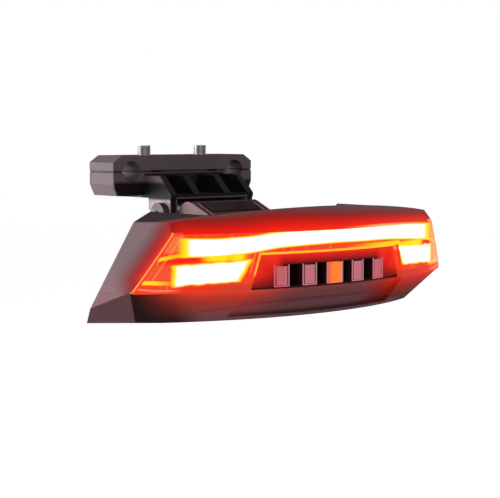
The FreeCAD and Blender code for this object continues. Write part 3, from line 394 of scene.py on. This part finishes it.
def shell_base(look):
    """Bare plastic of the shells, with painted light that makes the side facets a little paler low down."""
    base = look.blend(look.noise(160, 4), SHELL, SHELL_MOTTLE)
    # painted light: the side facets paler low down
    painted_light_low_side = look.mul(look.ramp(side_inset(look), 0.4, 0.05), look.ramp(look.z, -22.0, -34.0))
    return look.blend(painted_light_low_side, base, srgb(114, 86, 90))


def shell_finish(look, base, glow, strength, specular):
    """Grained surface of the shells, with the light that falls on it painted as a glow."""
    grain = look.noise(2600, 3)
    return look.shaded(base_color=base, roughness=look.ramp(grain, 0.0, 1.0, 0.42, 0.56),
                       normal=look.bump(grain, 0.03, 0.5, look.rounded(0.35)),
                       emission_color=glow, emission_strength=strength, specular_ior_level=specular)


def housing_look():
    """Dark grained plastic of the upper shell, with the red spill of the lit lens painted on it as a glow,
    and painted shade on the left end of its top.
    """
    look = Look("housing_plastic")
    x, z = look.x, look.z
    depth = lens_depth(look)
    inset = side_inset(look)
    beside, above = bar_window(look)
    from_bar = look.length(look.high(beside, 0.0), look.high(above, 0.0), look.mul(depth, 0.95))
    from_bar = look.mul(from_bar, look.ramp(x, -22.0, 40.0, 1.0, 1.4))
    # painted light: red spill of the lit bar and of the lens's edge, as a glow on the shell
    bar_glow = look.shades(from_bar, 11.0, [
        (0.0, srgb(250, 50, 16)), (1.9, srgb(242, 24, 6)), (3.4, srgb(212, 20, 9)),
        (4.9, srgb(172, 24, 14)), (6.2, srgb(138, 26, 20)), (7.6, srgb(100, 22, 20)),
        (9.4, srgb(44, 10, 10)), (11.0, NOTHING)])
    from_edge = look.add(look.mul(depth, 1.1), look.mul(look.high(look.sub(-28.5, z), 0.0), 0.8))
    edge_glow = look.shades(from_edge, 8.0, [
        (0.0, srgb(240, 34, 14)), (0.5, srgb(212, 18, 10)), (1.8, srgb(168, 20, 14)),
        (3.2, srgb(132, 20, 16)), (4.8, srgb(84, 16, 14)), (6.4, srgb(40, 8, 8)), (8.0, NOTHING)])
    on_side = look.ramp(inset, 0.5, 0.2)
    glow = look.blend(1.0, bar_glow, look.blend(on_side, NOTHING, edge_glow), "LIGHTEN")
    # painted highlight: warmer light next to the bar on the right
    painted_warm_light = look.mul(look.ramp(from_bar, 1.6, 0.5), look.ramp(x, 0.0, 20.0))
    glow = look.blend(painted_warm_light, glow, srgb(250, 180, 96))
    # painted light: the rim strip beside the lens glows like the lens
    strip = look.mul(look.ramp(depth, 0.5, 0.3), look.ramp(inset, 0.05, 0.15), look.ramp(inset, 2.6, 2.4))
    strip_tone = look.blend(look.ramp(x, 30.0, 50.0, 0.0, 0.8), srgb(240, 70, 36), srgb(255, 184, 110))
    strip_tone = look.blend(look.line(inset, 0.4, 0.05, 0.25), strip_tone, srgb(255, 166, 84))
    glow = look.blend(look.mul(strip, look.ramp(z, -12.4, -13.4)), glow, strip_tone)
    # painted shade on the left end of the shell's top
    roof_shade = look.mul(look.ramp(depth, 4.5, 8.0), look.ramp(inset, 0.05, 0.5), look.ramp(z, -15.5, -14.0))
    base = look.blend(look.mul(roof_shade, look.ramp(x, 0.0, -30.0), 0.95), shell_base(look), srgb(40, 29, 31))
    # the base turns deep red where the painted glow is strong
    reddened = look.high(look.ramp(from_bar, 10.5, 5.5), look.mul(on_side, look.ramp(from_edge, 8.5, 1.5)))
    base = look.blend(look.high(reddened, strip), base, srgb(40, 4, 3))
    return shell_finish(look, base, glow, 0.95, 0.05)


def chin_look():
    """Lower shell: a red glow painted on the chin under the turn lamps, painted shade at its corners, and its
    seam.
    """
    look = Look("chin_plastic")
    x, z = look.x, look.z
    across = look.size(x)
    drop = look.sub(LENS_BOTTOM, z)
    from_corner = look.sub(look.sub(CORNER[0] - 0.5, look.mul(drop, CHIN_TAPER)), across)
    depth = lens_depth(look)
    rear = look.ramp(depth, 15.0, 10.0)
    reach = look.add(from_corner, both_sides(look, 0.0, 8.0))
    # masks of the painted glow under the turn lamps and of its redder right end
    under = look.mul(look.ramp(reach, -1.0, 18.0), look.ramp(across, 12.0, 34.0, 0.15, 1.0), rear)
    far = look.mul(look.ramp(x, 14.0, 28.0), rear)
    # painted light: red glow of the turn lamps, fading below the lens
    glow = look.shades(drop, 10.0, [
        (0.0, srgb(226, 62, 40)), (1.5, srgb(192, 50, 34)), (3.6, srgb(148, 40, 28)),
        (6.2, srgb(104, 30, 24)), (8.4, srgb(54, 14, 12)), (9.8, srgb(26, 6, 6))])
    glow = look.blend(under, NOTHING, look.blend(far, glow, (1.0, 0.4, 0.3, 1.0), "MULTIPLY"))
    browner = look.mul(look.ramp(depth, 22.0, 8.0), look.ramp(side_inset(look), 0.05, 0.4))
    base = look.blend(browner, shell_base(look), srgb(88, 61, 65))
    # painted shade at the chin's corners
    corner = look.mul(look.ramp(from_corner, 19.0, 9.0), look.ramp(from_corner, -0.3, 0.1), rear, 0.95)
    base = look.blend(corner, base, srgb(18, 6, 7))
    # the base is darkened under the painted glow, deepest on the right
    base = look.blend(look.mul(under, look.ramp(drop, 9.0, 1.0)), base, srgb(50, 12, 8))
    base = look.blend(look.mul(far, look.ramp(drop, 9.5, 6.5)), base, srgb(24, 4, 4))
    from_seam = look.sub(look.add(z, look.mul(across, across, 1 / SEAM_SAG)), SEAM_HEIGHT)
    seam = look.mul(look.line(from_seam, 0.0, 0.1, 0.16), look.ramp(across, 44.6, 43.6), 0.7)
    base = look.blend(seam, base, srgb(34, 14, 16))
    return shell_finish(look, base, glow, 0.9, 0.02)


def grille_look():
    """Black recess, with the red light of the lens round it painted as a glow along its top and sides, and
    painted shade low down.
    """
    look = Look("grille_plastic")
    z = look.z
    inside = look.high(look.mul(recess_distance(look), -1.0), 0.0)
    reach = look.add(3.7, look.ramp(look.size(look.x), 19.0, 23.0, 0.0, 8.0))
    # painted light of the lens inside the recess, fading inward
    lit = look.shades(look.math("DIVIDE", inside, reach), 1.0, [
        (0.0, srgb(245, 52, 18)), (0.3, srgb(226, 26, 12)), (0.55, srgb(190, 14, 7)), (0.8, srgb(140, 8, 5)),
        (0.96, srgb(58, 4, 5)), (1.0, srgb(24, 2, 4))])
    # painted shade lower in the recess and at the posts' feet
    lit = look.blend(look.ramp(z, -28.0, -33.0, 0.0, 0.8), lit, srgb(30, 4, 4))
    lit = look.blend(look.ramp(z, POST_BOTTOM + 0.2, POST_BOTTOM - 0.1), lit, srgb(30, 6, 6))
    return look.shaded(base_color=srgb(24, 12, 14), roughness=0.5, specular_ior_level=0.08,
                       normal=look.bump(look.noise(2200, 2), 0.02, 0.4, look.rounded(0.15)),
                       emission_color=lit, emission_strength=look.ramp(lens_depth(look), 3.0, 5.2, 1.0, 0.0))


def moulded(look, base, patch, grain_scale, roughness, edge=0.3, specular=0.5, depth=0.02):
    """Fine grain, softened edges and an uneven sheen, as every moulded piece has."""
    grain = look.noise(grain_scale, 3)
    return look.shaded(base_color=base, roughness=look.ramp(patch, 0.2, 0.8, roughness, roughness + 0.12),
                       normal=look.bump(grain, depth, 0.45, look.rounded(edge)), specular_ior_level=specular)


def plastic_look(name, colour, darker, grain_scale, roughness, **finish):
    """Plain moulded plastic or rubber in two close tones."""
    look = Look(name)
    patch = look.noise(120, 4)
    return moulded(look, look.blend(patch, colour, darker), patch, grain_scale, roughness, **finish)


def clamp_look():
    """Moulded clamp, with painted shade in the hollows at its rear and below, and painted light on the outer
    sides of its ears.
    """
    look = Look("clamp_plastic")
    y, z = look.y, look.z
    across = look.size(look.x)
    patch = look.noise(120, 4)
    # painted shade in the hollows at the rear and below the clamp
    pocket_shade = look.mul(look.ramp(across, 17.3, 16.9), look.ramp(z, -0.4, -0.8), look.ramp(y, -6.2, -7.2),
                       look.ramp(z, -7.4, -7.1))
    underside_shade = look.mul(look.ramp(y, -5.6, -6.9), look.ramp(z, -2.6, -4.2), look.ramp(across, 29.3, 28.9),
                         look.high(look.ramp(z, -8.4, -8.0), look.ramp(across, 14.8, 15.4)))
    base = look.blend(patch, srgb(92, 80, 84), srgb(84, 72, 76))
    base = look.blend(look.mul(look.high(pocket_shade, underside_shade), 0.96), base, srgb(12, 8, 9))
    # painted light on the outer sides of the ears, low down
    ear_side_light = look.mul(look.ramp(across, *EAR_INNER), look.ramp(across, *EAR_OUTER))
    base = look.blend(look.mul(ear_side_light, look.ramp(z, -8.6, -9.6)), base, srgb(150, 131, 136))
    return moulded(look, base, patch, 2000, 0.4, specular=0.05)


def bracket_look():
    """Moulded bracket: painted light makes the round cheeks on both sides pale beside a darker sloping back.
    """
    look = Look("bracket_plastic")
    patch = look.noise(120, 4)
    base = look.blend(patch, srgb(58, 35, 37), srgb(49, 30, 32))
    # painted light on the round cheeks
    base = look.blend(look.ramp(look.size(look.x), *CHEEK), base, srgb(119, 91, 91))
    return moulded(look, base, patch, 2000, 0.42, specular=0.1)


def metal_look(name, colour, roughness):
    """Brushed and slightly stained metal."""
    look = Look(name)
    brushed = look.noise(900.0, 3.0, (1.0, 1.0, 0.06))
    stain = look.noise(260.0, 4.0)
    darker = tuple(0.72 * part for part in colour[:3]) + (1.0,)
    return look.shaded(base_color=look.blend(look.mul(brushed, stain), colour, darker), metallic=1.0,
                       roughness=look.ramp(stain, 0.2, 0.8, roughness, roughness + 0.15),
                       normal=look.bump(brushed, 0.01, 0.3, look.rounded(0.12)))


def glowing_look(name, colour, base, strength):
    """A lamp or light guide inside the shells, unevenly bright."""
    look = Look(name)
    dimmer = tuple(0.8 * part for part in colour[:3]) + (1.0,)
    tone = look.blend(look.noise(400, 3), colour, dimmer)
    return look.shaded(base_color=base, roughness=0.35, specular_ior_level=0.3, normal=look.rounded(0.2),
                       emission_color=tone, emission_strength=strength)


def insert_look(name, pale, deep, painted_warm_light):
    """Pink post parts that glow with painted light, redder towards the lit ends of the recess."""
    look = Look(name)
    tone = look.blend(look.noise(700.0, 2.0, (1.0, 1.0, 0.1)), pale, deep)
    # painted red light towards the lit ends of the recess
    tone = look.blend(look.mul(look.ramp(look.size(look.x), 13.0, 23.0), 0.6), tone, painted_warm_light)
    return look.shaded(base_color=srgb(70, 40, 44), roughness=0.4, specular_ior_level=0.25,
                       normal=look.rounded(0.15), emission_color=tone, emission_strength=0.8)


def button_look():
    """Orange button with painted light as a glow, redder on its left where the recess lights it."""
    look = Look("button_orange")
    tone = look.blend(look.ramp(look.x, -3.0, -1.2), srgb(236, 70, 34), srgb(254, 132, 48))
    fibres = look.mul(look.noise(700.0, 2.0, (1.0, 1.0, 0.1)), 0.5)
    tone = look.blend(fibres, tone, srgb(240, 104, 34))
    return look.shaded(base_color=srgb(170, 60, 20), roughness=0.4, specular_ior_level=0.25,
                       normal=look.rounded(0.2), emission_color=tone, emission_strength=0.85)


def rim_look():
    """Rim of the recess with its light painted as a glow, yellow along its top and left and red at its right.
    """
    look = Look("rim_glow")
    tone = look.blend(look.ramp(look.x, 25.0, 28.0), srgb(255, 204, 58), srgb(214, 34, 20))
    tone = look.blend(look.ramp(look.z, -27.6, -29.0), tone, srgb(226, 46, 26))
    return look.shaded(base_color=srgb(160, 40, 10), roughness=0.35, specular_ior_level=0.1,
                       emission_color=tone, emission_strength=0.92)


LOOKS = {
    "housing_plastic": housing_look(),
    "lens_red": lens_look(),
    "grille_plastic": grille_look(),
    "clamp_plastic": clamp_look(),
    "bracket_plastic": bracket_look(),
    "tab_gloss": plastic_look(
        "tab_gloss", srgb(38, 14, 17), srgb(30, 11, 14), 1500, 0.2, edge=0.25, specular=0.06, depth=0.005),
    "bolt_steel": metal_look("bolt_steel", srgb(118, 116, 119), 0.3),
    "washer_steel": metal_look("washer_steel", srgb(150, 150, 154), 0.32),
    "screw_steel": metal_look("screw_steel", srgb(92, 92, 96), 0.35),
    "seal_rubber": plastic_look("seal_rubber", srgb(30, 27, 28), srgb(24, 22, 23), 1500, 0.62, specular=0.3),
    "guide_clear": glowing_look("guide_clear", srgb(255, 214, 140), srgb(240, 200, 180), 0.8),
    "bezel_red": plastic_look("bezel_red", srgb(150, 20, 12), srgb(120, 14, 10), 900, 0.25),
    "board_green": plastic_look("board_green", srgb(20, 96, 52), srgb(14, 78, 42), 700, 0.35),
    "diode": glowing_look("diode", srgb(255, 240, 200), srgb(240, 230, 200), 1.0),
    "insert_bright": insert_look("insert_bright", srgb(206, 122, 134), srgb(188, 98, 110), srgb(206, 70, 74)),
    "button_orange": button_look(),
    "switch_black": plastic_look("switch_black", srgb(30, 28, 29), srgb(24, 22, 23), 900, 0.5),
    "shield_metal": metal_look("shield_metal", srgb(196, 196, 198), 0.3),
    "ribbon": plastic_look("ribbon", srgb(180, 118, 40), srgb(160, 104, 32), 500, 0.4),
    "cell_wrap": plastic_look("cell_wrap", srgb(40, 70, 150), srgb(34, 60, 132), 500, 0.3),
    "contact_nickel": metal_look("contact_nickel", srgb(204, 200, 190), 0.3),
}
CHIN = chin_look()
BLACK_STEEL = metal_look("black_steel", srgb(58, 52, 54), 0.4)
RIM_GLOW = rim_look()
# painted highlight along the edges of the bracket's sloping back
HIGHLIGHT_EDGE = plastic_look(
    "painted_highlight_edge", srgb(184, 148, 150), srgb(160, 128, 130), 2000, 0.4, edge=0.1, specular=0.2)
# the posts' frames glow with painted light too
POST_EDGE = insert_look("post_edge", srgb(196, 132, 142), srgb(176, 112, 122), srgb(214, 74, 74))
NODE_LOOKS = {
    "lower_housing": CHIN,
    "housing_gasket": CHIN,
    "hinge_bolt": BLACK_STEEL,
    "hinge_nut": BLACK_STEEL,
}

for entry in frame["record"]["subparts"]:
    item = frame["nodes"][entry["node"]]
    item.data.materials.clear()
    item.data.materials.append(NODE_LOOKS.get(entry["node"], LOOKS[entry["material_slot"]]))


def piece(name, shape, look, body):
    """Finishes a shape built in millimetres as a piece that moves with a body."""
    bmesh.ops.recalc_face_normals(shape, faces=shape.faces)
    bmesh.ops.scale(shape, vec=(MM, MM, MM), verts=shape.verts)
    mesh = bpy.data.meshes.new(name)
    shape.to_mesh(mesh)
    shape.free()
    mesh.materials.append(look)
    item = bpy.data.objects.new(name, mesh)
    bpy.context.collection.objects.link(item)
    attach(item, body)


def rod(shape, start, stop, radius):
    """A thin eight-sided rod between two points."""
    axis = Vector(stop) - Vector(start)
    middle = (Vector(start) + Vector(stop)) / 2
    place = Matrix.Translation(middle) @ axis.to_track_quat("Z", "Y").to_matrix().to_4x4()
    bmesh.ops.create_cone(shape, cap_ends=True, segments=8, radius1=radius, radius2=radius,
                          depth=axis.length, matrix=place)


def block(shape, middle, size, turn=0.0):
    """A box about its middle, turned about the vertical."""
    place = Matrix.Translation(middle) @ Matrix.Rotation(turn, 4, "Z") @ Matrix.Diagonal((*size, 1.0))
    return bmesh.ops.create_cube(shape, size=1.0, matrix=place)["verts"]


def softened(shape, verts, width):
    """Rounds the edges of part of a shape."""
    edges = list({edge for vert in verts for edge in vert.link_edges})
    bmesh.ops.bevel(shape, geom=edges, offset=width, segments=2, profile=0.5, affect="EDGES", material=-1)


def on_arc(across, radius, height):
    """A point on an upright round face about the lens's axis, for a distance across."""
    return Vector((across, ARC_FORWARD - math.sqrt(radius ** 2 - across ** 2), height))


def arc_rod(shape, radius, height, reach, thickness):
    """A round bead that follows the lens's arc from one side to the other."""
    start = math.asin(reach / radius)
    out = Matrix.Translation((0, -radius, 0)) @ Matrix.Rotation(math.pi / 2, 4, "Y")
    place = Matrix.Translation((0, ARC_FORWARD, height)) @ Matrix.Rotation(-start, 4, "Z") @ out
    ring = bmesh.ops.create_circle(shape, cap_ends=True, segments=8, radius=thickness, matrix=place)["verts"]
    parts = list({face for vert in ring for face in vert.link_faces})
    bmesh.ops.spin(shape, geom=parts, cent=(0, ARC_FORWARD, 0), axis=(0, 0, 1), angle=2 * start, steps=48)


def recess_rim():
    """Thin lit rim round the middle recess's mouth."""
    shape = bmesh.new()
    radius = LENS_RADIUS - 0.25
    top = RECESS_TOP + 0.05
    arc_rod(shape, radius, top, RECESS_HALF_TOP, RIM_BEAD)
    for side in (-1, 1):
        upper = on_arc(side * RECESS_HALF_TOP, radius, top)
        lower = on_arc(side * (RECESS_HALF_TOP + RECESS_FALL * RECESS_SLANT), radius, top - RECESS_FALL)
        rod(shape, upper, lower, RIM_BEAD)
    piece("recess_rim", shape, RIM_GLOW, "light")


def post_frames():
    """Raised frames along the sides and foot of the grille's five posts."""
    shape = bmesh.new()
    height = POST_TOP - POST_BOTTOM
    for number in (-2, -1, 0, 1, 2):
        middle = on_arc(number * POST_PITCH, GRILLE_RADIUS, 0)
        turn = math.asin(number * POST_PITCH / GRILLE_RADIUS)
        along = Vector((math.cos(turn), math.sin(turn), 0))
        half = BUTTON_HALF if number == 0 else POST_HALF
        for side in (-1, 1):
            place = middle + along * side * half
            verts = block(shape, (place.x, place.y, POST_BOTTOM + height / 2), (0.4, 0.5, height), turn)
            softened(shape, verts, 0.1)
        verts = block(shape, (middle.x, middle.y, POST_BOTTOM + 0.1), (2 * half + 0.3, 0.4, 0.35), turn)
        softened(shape, verts, 0.1)
    piece("post_frames", shape, POST_EDGE, "light")


def bolt_threads():
    """Rolled threads on the ends of the clamp bolts above the nuts."""
    shape = bmesh.new()
    pitch = 0.7
    turns = 3.9
    sides = 28
    for side in (-1, 1):
        place = Matrix.Translation((side * BOLT_ACROSS + BOLT_RADIUS - 0.06, 0, PLATE_TOP + 0.2))
        place = place @ Matrix.Rotation(math.pi / 2, 4, "X")
        ring = bmesh.ops.create_circle(shape, cap_ends=True, segments=6, radius=0.26, matrix=place)["verts"]
        parts = list({face for vert in ring for face in vert.link_faces})
        bmesh.ops.spin(shape, geom=parts, cent=(side * BOLT_ACROSS, 0, 0), axis=(0, 0, 1),
                       dvec=(0, 0, pitch / sides), angle=turns * math.tau, steps=round(sides * turns))
    piece("bolt_threads", shape, LOOKS["bolt_steel"], "rail_clamp")


def clamp_liner():
    """Thin rubber liner in the slit between the clamp's halves."""
    shape = bmesh.new()
    for start, stop in ((-29.4, -25.9), (-18.1, -14.2), (-9.8, 9.8), (14.2, 18.1), (25.9, 29.4)):
        block(shape, ((start + stop) / 2, 0, -0.01), (stop - start, 13.6, 0.54))
    piece("clamp_liner", shape, LOOKS["seal_rubber"], "rail_clamp")


def dust_shield():
    """Thin wall between the clamp's ears that closes the gap in front of the hinge."""
    shape = bmesh.new()
    softened(shape, block(shape, (0, -11.8, -11.0), (28.6, 1.0, 4.4)), 0.2)
    piece("dust_shield", shape, LOOKS["bracket_plastic"], "rail_clamp")


def hump_trim():
    """Narrow raised edges down both sides of the bracket's sloping back, coloured as painted highlights."""
    shape = bmesh.new()
    for side in (-1, 1):
        rod(shape, (side * 13.95, -28.9, -9.95), (side * 13.95, -37.3, -13.45), 0.15)
        rod(shape, (side * 11.6, -29.2, -9.98), (side * 11.6, -37.2, -13.35), 0.1)
    piece("hump_trim", shape, HIGHLIGHT_EDGE, "tilt_bracket")


def chin_bead():
    """Raised line across the chin just under its painted seam."""
    shape = bmesh.new()
    arc_rod(shape, 115.7, SEAM_HEIGHT - 0.4, 42.5, 0.22)
    for vert in shape.verts:
        fall = vert.co.x ** 2 / SEAM_SAG
        outward = Vector((vert.co.x, vert.co.y - ARC_FORWARD, 0)).normalized()
        vert.co -= outward * fall
        vert.co.z -= fall
    piece("chin_bead", shape, CHIN, "light")


recess_rim()
post_frames()
bolt_threads()
clamp_liner()
dust_shield()
hump_trim()
chin_bead()


def camera():
    """The photograph's view of the light, without blur."""
    data = bpy.data.cameras.new("camera")
    data.lens = CAMERA_LENS
    data.sensor_width = 36
    data.clip_start = 0.01
    data.dof.use_dof = False
    eye = bpy.data.objects.new("camera", data)
    eye.location = CAMERA_PLACE
    eye.rotation_euler = (math.radians(CAMERA_TILT), 0, math.radians(CAMERA_HEADING))
    bpy.context.collection.objects.link(eye)
    bpy.context.scene.camera = eye


def area_light(name, place, target, size, power):
    """A soft rectangular lamp aimed at a point."""
    data = bpy.data.lights.new(name, "AREA")
    data.shape = "RECTANGLE"
    data.size, data.size_y = size
    data.energy = power
    lamp = bpy.data.objects.new(name, data)
    lamp.location = place
    lamp.rotation_euler = (Vector(target) - Vector(place)).to_track_quat("-Z", "Y").to_euler()
    bpy.context.collection.objects.link(lamp)


def flag(name, place, target, width, height):
    """A black studio card that only shades and is mirrored, and that no camera sees."""
    mesh = bpy.data.meshes.new(name)
    shape = bmesh.new()
    turn = (Vector(target) - Vector(place)).to_track_quat("-Z", "Y").to_matrix().to_4x4()
    size = Matrix.Diagonal((width / 2, height / 2, 1.0, 1.0))
    matrix = Matrix.Translation(place) @ turn @ size
    bmesh.ops.create_grid(shape, x_segments=1, y_segments=1, size=1.0, matrix=matrix)
    shape.to_mesh(mesh)
    shape.free()
    mesh.materials.append(Look(name).shaded(base_color=(0.01, 0.01, 0.01, 1), roughness=1.0))
    card = bpy.data.objects.new(name, mesh)
    card.visible_camera = False
    bpy.context.collection.objects.link(card)


def white_surroundings():
    """A world that is white to the camera and in mirrors, and lights the pieces at a plain level."""
    world = bpy.data.worlds.new("studio")
    world.use_nodes = True
    tree = world.node_tree
    background = tree.nodes["Background"]
    background.inputs["Color"].default_value = (1, 1, 1, 1)
    path = tree.nodes.new("ShaderNodeLightPath")
    seen = path.outputs["Is Camera Ray"]
    for ray in ("Is Glossy Ray", "Is Transmission Ray"):
        either = tree.nodes.new("ShaderNodeMath")
        either.operation = "MAXIMUM"
        tree.links.new(seen, either.inputs[0])
        tree.links.new(path.outputs[ray], either.inputs[1])
        seen = either.outputs[0]
    strength = tree.nodes.new("ShaderNodeMapRange")
    strength.inputs["To Min"].default_value = AMBIENT
    tree.links.new(seen, strength.inputs["Value"])
    tree.links.new(strength.outputs[0], background.inputs["Strength"])
    bpy.context.scene.world = world


def pale_floor():
    """A pale floor well below the hung light."""
    mesh = bpy.data.meshes.new("floor")
    shape = bmesh.new()
    bmesh.ops.create_grid(shape, x_segments=1, y_segments=1, size=FLOOR_HALF)
    shape.to_mesh(mesh)
    shape.free()
    floor = bpy.data.objects.new("floor", mesh)
    floor.location = (0, 0, FLOOR)
    bpy.context.collection.objects.link(floor)
    look = Look("floor")
    rays = look.nodes.new("ShaderNodeLightPath")
    mesh.materials.append(look.shaded(
        base_color=(0.9, 0.9, 0.9, 1), roughness=0.85, emission_color=(1, 1, 1, 1),
        emission_strength=look.mul(rays.outputs["Is Camera Ray"], 0.6)))


camera()
white_surroundings()
pale_floor()
flag("far_flag", (0.34, 0.40, 0.16), (0, -0.04, AIM), 0.8, 0.5)
area_light("left_softbox", (-0.68, 0.60, 0.02), (0, -0.03, AIM), (0.9, 0.9), 24)
area_light("rear_fill", (-0.25, -0.75, 0.25), (0, -0.05, AIM), (0.7, 0.5), 2.4)
bpy.context.scene.view_settings.view_transform = "Standard"
